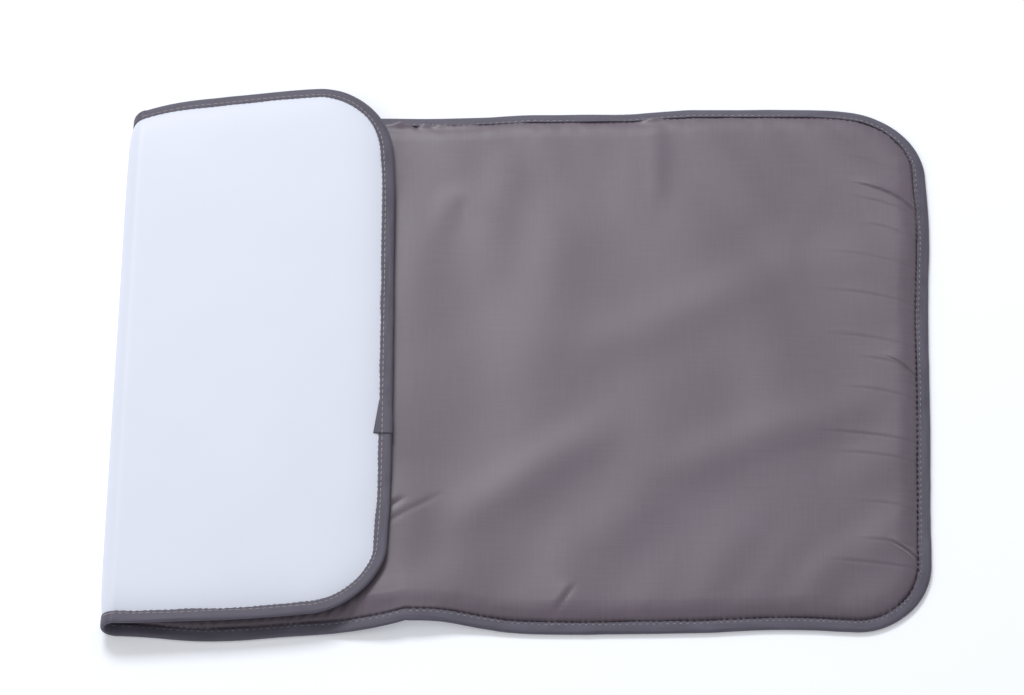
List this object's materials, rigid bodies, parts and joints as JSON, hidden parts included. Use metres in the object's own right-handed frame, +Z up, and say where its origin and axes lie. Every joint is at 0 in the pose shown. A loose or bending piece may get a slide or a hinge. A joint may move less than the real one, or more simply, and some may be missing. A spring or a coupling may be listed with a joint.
{
  "type": "changing pad",
  "caption": "Soft rectangular baby changing pad with a bound edge and a wipe-clean backing, one end folded over, that folds up across its width.",
  "frame": {"origin": "centre of the base of the folded pad's bounding box, on the surface it lies on", "axes": "+X along the pad's length, away from the folded-over flap; +Y across its width; +Z up"},
  "size_m": [0.5314, 0.4, 0.0188],
  "materials": {
    "face_fabric": "smooth woven polyester, low sheen",
    "wadding": "soft white fill",
    "backing": "smooth white coated fabric, slight gloss",
    "binding": "plain woven tape, low sheen",
    "stitching": "twisted polyester thread"
  },
  "bodies": {
    "flap": {"face_fabric_flap": "face_fabric", "wadding_flap": "wadding", "backing_flap": "backing", "binding_flap": "binding", "stitching_flap": "stitching", "binding_lap_end": "binding"},
    "flap_fold": {"face_fabric_flap_fold": "face_fabric", "wadding_flap_fold": "wadding", "backing_flap_fold": "backing", "binding_flap_fold": "binding", "stitching_flap_fold": "stitching"},
    "inner_panel": {"face_fabric_inner_panel": "face_fabric", "wadding_inner_panel": "wadding", "backing_inner_panel": "backing", "binding_inner_panel": "binding", "stitching_inner_panel": "stitching"},
    "centre_fold": {"face_fabric_centre_fold": "face_fabric", "wadding_centre_fold": "wadding", "backing_centre_fold": "backing", "binding_centre_fold": "binding", "stitching_centre_fold": "stitching"},
    "outer_panel": {"face_fabric_outer_panel": "face_fabric", "wadding_outer_panel": "wadding", "backing_outer_panel": "backing", "binding_outer_panel": "binding", "stitching_outer_panel": "stitching"},
    "tail_fold": {"face_fabric_tail_fold": "face_fabric", "wadding_tail_fold": "wadding", "backing_tail_fold": "backing", "binding_tail_fold": "binding", "stitching_tail_fold": "stitching"},
    "tail": {"face_fabric_tail": "face_fabric", "wadding_tail": "wadding", "backing_tail": "backing", "binding_tail": "binding", "stitching_tail": "stitching"}
  },
  "joints": [
    {"name": "flap_fold_lower", "type": "hinge", "parent": "inner_panel", "child": "flap_fold", "pos_m": [-0.2583, 0, 0.0074], "axis": [0, -1, 0], "range_deg": [0, 90.58]},
    {"name": "flap_fold_upper", "type": "hinge", "parent": "flap_fold", "child": "flap", "pos_m": [-0.25826, 0, 0.0114], "axis": [0, -1, 0], "range_deg": [0, 90.58]},
    {"name": "centre_fold_inner", "type": "hinge", "parent": "inner_panel", "child": "centre_fold", "pos_m": [-0.0843, 0, 0.0074], "axis": [0, -1, 0], "range_deg": [0, 88.85]},
    {"name": "centre_fold_outer", "type": "hinge", "parent": "centre_fold", "child": "outer_panel", "pos_m": [-0.0679, 0, 0.0074], "axis": [0, -1, 0], "range_deg": [0, 88.85]},
    {"name": "tail_fold_inner", "type": "hinge", "parent": "outer_panel", "child": "tail_fold", "pos_m": [0.0979, 0, 0.0074], "axis": [0, -1, 0], "range_deg": [0, 90.58]},
    {"name": "tail_fold_outer", "type": "hinge", "parent": "tail_fold", "child": "tail", "pos_m": [0.1019, 0, 0.0074], "axis": [0, -1, 0], "range_deg": [0, 90.58]}
  ],
  "couplings": [
    {"joint": "flap_fold_lower", "follows": "flap_fold_upper", "ratio": 1},
    {"joint": "centre_fold_inner", "follows": "centre_fold_outer", "ratio": 1},
    {"joint": "tail_fold_inner", "follows": "tail_fold_outer", "ratio": 1}
  ]
}
